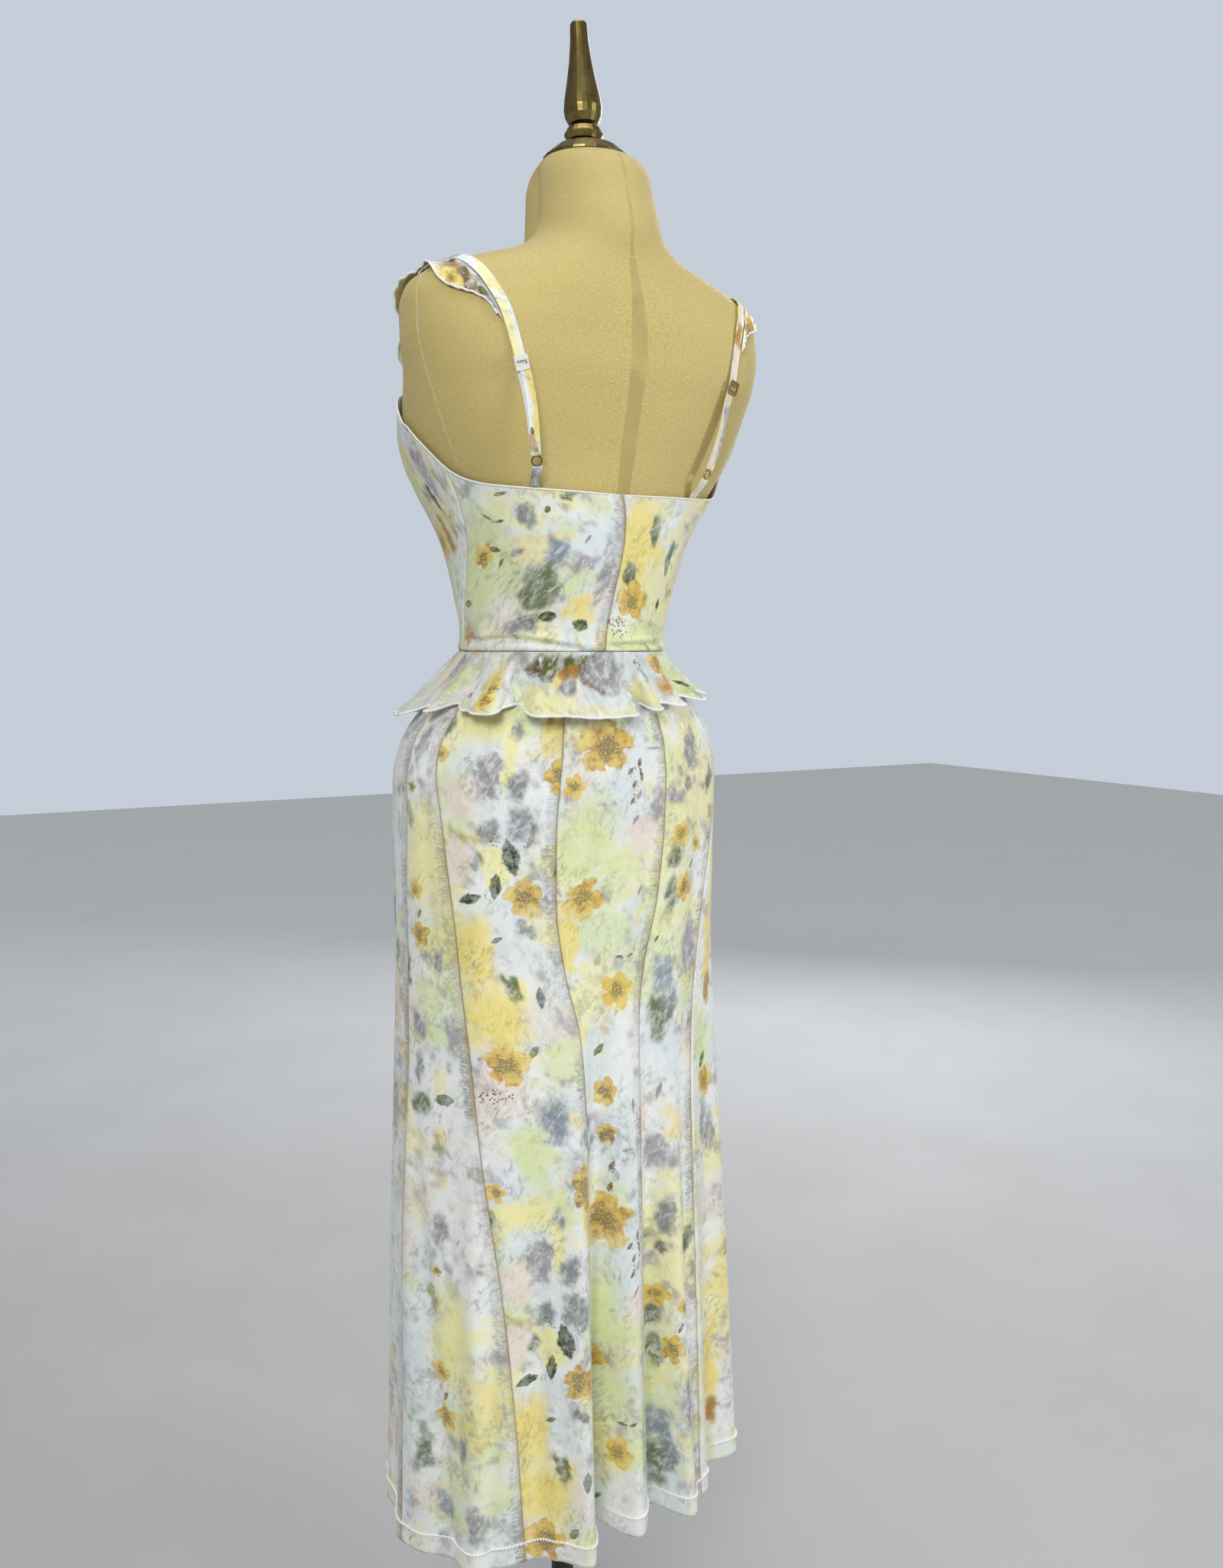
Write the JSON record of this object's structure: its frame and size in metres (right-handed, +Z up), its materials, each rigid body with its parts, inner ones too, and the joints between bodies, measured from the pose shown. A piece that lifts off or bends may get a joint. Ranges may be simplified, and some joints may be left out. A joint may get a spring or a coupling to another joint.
{
  "type": "floral dress on a limbless dress form",
  "caption": "Sleeveless midi dress with a gored flared skirt, a ruffle at the waist and slim straps with shoulder ruffles, standing on a limbless cloth-covered dress form.",
  "frame": {"origin": "centre of the round base's underside, on the floor", "axes": "+Z up along the pole, -Y is the dress's front, +Y its back, +X the wearer's left"},
  "size_m": [0.4113, 0.3485, 1.8101],
  "materials": {
    "print_cloth": "fine mesh cloth, printed with flowers",
    "form_cover": "plain woven cover, olive gold",
    "aged_brass": "aged, satin",
    "white_metal": "white coated wire and plate",
    "dark_steel": "black powder coat"
  },
  "bodies": {
    "root": {"bodice_back_left": "print_cloth", "bodice_back_right": "print_cloth", "bodice_front_left": "print_cloth", "bodice_front_right": "print_cloth", "form_base": "dark_steel", "form_collar_ring": "aged_brass", "form_finial": "aged_brass", "form_neck_cap": "aged_brass", "form_pole": "dark_steel", "form_torso": "form_cover", "peplum_back": "print_cloth", "peplum_front": "print_cloth", "ring_left": "white_metal", "ring_right": "white_metal", "shoulder_ruffle_left": "print_cloth", "shoulder_ruffle_right": "print_cloth", "skirt_back_centre": "print_cloth", "skirt_back_left": "print_cloth", "skirt_back_right": "print_cloth", "skirt_front_centre": "print_cloth", "skirt_front_left": "print_cloth", "skirt_front_right": "print_cloth", "skirt_side_back_left": "print_cloth", "skirt_side_back_right": "print_cloth", "skirt_side_front_left": "print_cloth", "skirt_side_front_right": "print_cloth", "slider_left": "white_metal", "slider_right": "white_metal", "strap_lower_left": "print_cloth", "strap_lower_right": "print_cloth", "strap_tab_left": "print_cloth", "strap_tab_right": "print_cloth", "strap_upper_left": "print_cloth", "strap_upper_right": "print_cloth"}
  },
  "joints": []
}
